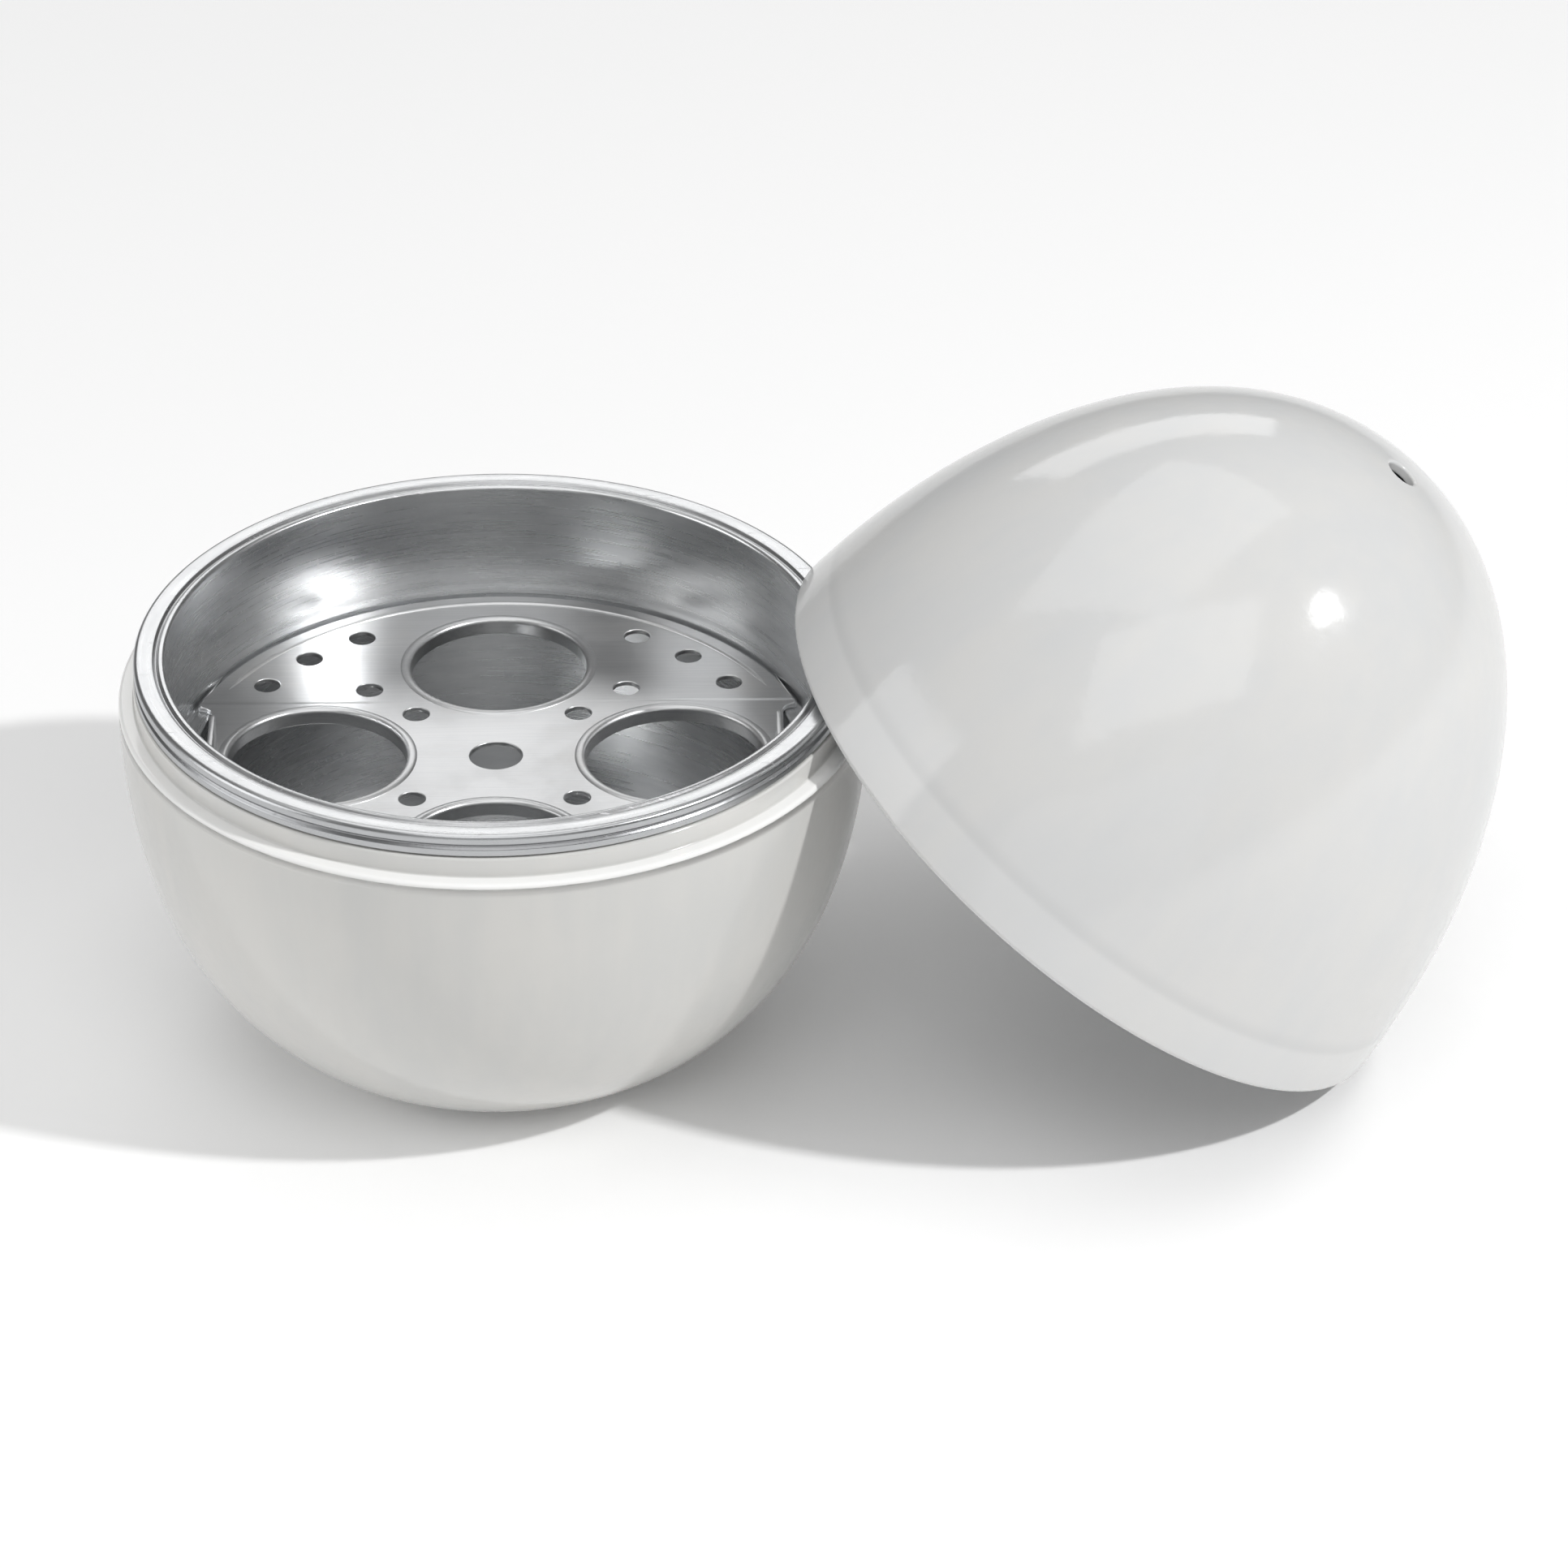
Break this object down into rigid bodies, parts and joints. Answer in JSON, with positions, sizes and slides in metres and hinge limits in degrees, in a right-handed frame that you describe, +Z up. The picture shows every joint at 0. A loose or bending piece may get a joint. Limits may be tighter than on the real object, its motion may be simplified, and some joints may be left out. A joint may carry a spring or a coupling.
{
  "type": "egg cooker",
  "caption": "Egg-shaped microwave egg cooker: white bowl with an aluminium liner and a perforated egg rack, and a lined domed lid that leans open on the bowl's rim.",
  "frame": {"origin": "centre of the bowl's flat foot, on the surface that it stands on", "axes": "+Z up along the bowl's axis; +X towards the lid, which leans on the rim; +Y to the back"},
  "size_m": [0.2628, 0.142, 0.1291],
  "materials": {
    "white_shell": "glossy moulded polypropylene",
    "white_lid": "glossy, faintly translucent moulded polypropylene",
    "aluminium_liner": "bright rolled sheet with fine spinning lines",
    "rack_sheet": "pressed sheet, satin"
  },
  "bodies": {
    "bowl": {"bowl_shell": "white_shell", "bowl_liner": "aluminium_liner"},
    "rack": {"egg_rack": "rack_sheet"},
    "lid": {"lid_shell": "white_lid", "lid_liner": "aluminium_liner"}
  },
  "joints": [
    {"name": "rack_lift", "type": "slide", "parent": "bowl", "child": "rack", "axis": [0, 0, 1], "range_m": [0, 0.1]},
    {"name": "lid_lift", "type": "slide", "parent": "bowl", "child": "lid", "axis": [0, 0, 1], "range_m": [0, 0.15]}
  ]
}
